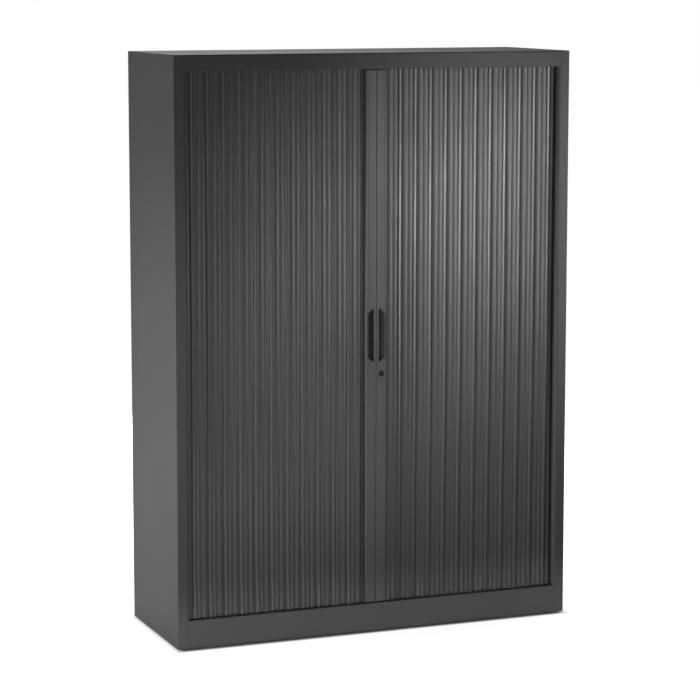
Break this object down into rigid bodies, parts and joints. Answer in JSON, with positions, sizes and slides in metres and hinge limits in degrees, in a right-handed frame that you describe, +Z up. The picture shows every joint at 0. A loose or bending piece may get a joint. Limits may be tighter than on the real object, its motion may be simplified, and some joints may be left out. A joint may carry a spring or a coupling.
{
  "type": "tambour door cabinet",
  "caption": "Tall steel cabinet closed by a pair of ribbed tambour curtains on leading stiles with recessed finger cups and a hook lock, with shelves inside.",
  "frame": {"origin": "centre of the footprint, on the floor under the levelling feet", "axes": "+Z up, -Y out of the front, +X to the right seen from the front"},
  "size_m": [1.2, 0.42, 1.66],
  "materials": {
    "body_steel": "anthracite powder coat, fine texture, satin",
    "inner_steel": "anthracite powder coat, satin",
    "slats": "satin ribbed plastic",
    "leading_stiles": "satin extruded plastic",
    "handle_cups": "matt black moulded plastic",
    "glides": "matt black plastic",
    "lock": "dark nickel plate",
    "zinc_steel": "bright zinc plate",
    "feet": "zinc plated steel"
  },
  "bodies": {
    "carcass": {"back_liner": "inner_steel", "back_panel": "body_steel", "base_panel": "inner_steel", "ceiling_panel": "inner_steel", "floor_tray": "inner_steel", "front_left_foot_bracket": "zinc_steel", "front_right_foot_bracket": "zinc_steel", "left_curtain_tail": "slats", "left_liner": "inner_steel", "left_lower_track": "glides", "left_side_panel": "body_steel", "left_upper_track": "glides", "lower_centre_stop": "glides", "plinth_rail": "body_steel", "rear_left_foot_bracket": "zinc_steel", "rear_right_foot_bracket": "zinc_steel", "right_curtain_tail": "slats", "right_liner": "inner_steel", "right_lower_track": "glides", "right_side_panel": "body_steel", "right_upper_track": "glides", "shelf_1": "inner_steel", "shelf_1_clip_left_front": "zinc_steel", "shelf_1_clip_left_rear": "zinc_steel", "shelf_1_clip_right_front": "zinc_steel", "shelf_1_clip_right_rear": "zinc_steel", "shelf_2": "inner_steel", "shelf_2_clip_left_front": "zinc_steel", "shelf_2_clip_left_rear": "zinc_steel", "shelf_2_clip_right_front": "zinc_steel", "shelf_2_clip_right_rear": "zinc_steel", "shelf_3": "inner_steel", "shelf_3_clip_left_front": "zinc_steel", "shelf_3_clip_left_rear": "zinc_steel", "shelf_3_clip_right_front": "zinc_steel", "shelf_3_clip_right_rear": "zinc_steel", "top_panel": "body_steel", "top_rail": "body_steel", "upper_centre_stop": "glides"},
    "left_door": {"left_leading_stile": "leading_stiles", "left_handle_cup": "handle_cups", "left_lower_shoe": "glides", "left_upper_shoe": "glides", "left_curtain": "slats", "lock_striker": "zinc_steel"},
    "right_door": {"right_leading_stile": "leading_stiles", "right_handle_cup": "handle_cups", "right_lower_shoe": "glides", "right_upper_shoe": "glides", "right_curtain": "slats", "lock_housing": "lock", "lock_nut": "zinc_steel"},
    "lock": {"lock_barrel": "lock", "lock_cam": "zinc_steel", "lock_cam_screw": "zinc_steel"},
    "front_left_foot": {"front_left_foot": "feet"},
    "front_right_foot": {"front_right_foot": "feet"},
    "rear_left_foot": {"rear_left_foot": "feet"},
    "rear_right_foot": {"rear_right_foot": "feet"}
  },
  "joints": [
    {"name": "left_door_slide", "type": "slide", "parent": "carcass", "child": "left_door", "axis": [-1, 0, 0], "range_m": [0, 0.51], "deforming": ["left_curtain"]},
    {"name": "right_door_slide", "type": "slide", "parent": "carcass", "child": "right_door", "axis": [1, 0, 0], "range_m": [0, 0.51], "deforming": ["right_curtain"]},
    {"name": "lock_turn", "type": "hinge", "parent": "right_door", "child": "lock", "pos_m": [0.0157, -0.19, 0.75], "axis": [0, -1, 0], "range_deg": [0, 90]},
    {"name": "front_left_foot_screw", "type": "slide", "parent": "carcass", "child": "front_left_foot", "axis": [0, 0, -1], "range_m": [0, 0.012]},
    {"name": "front_right_foot_screw", "type": "slide", "parent": "carcass", "child": "front_right_foot", "axis": [0, 0, -1], "range_m": [0, 0.012]},
    {"name": "rear_left_foot_screw", "type": "slide", "parent": "carcass", "child": "rear_left_foot", "axis": [0, 0, -1], "range_m": [0, 0.012]},
    {"name": "rear_right_foot_screw", "type": "slide", "parent": "carcass", "child": "rear_right_foot", "axis": [0, 0, -1], "range_m": [0, 0.012]}
  ]
}
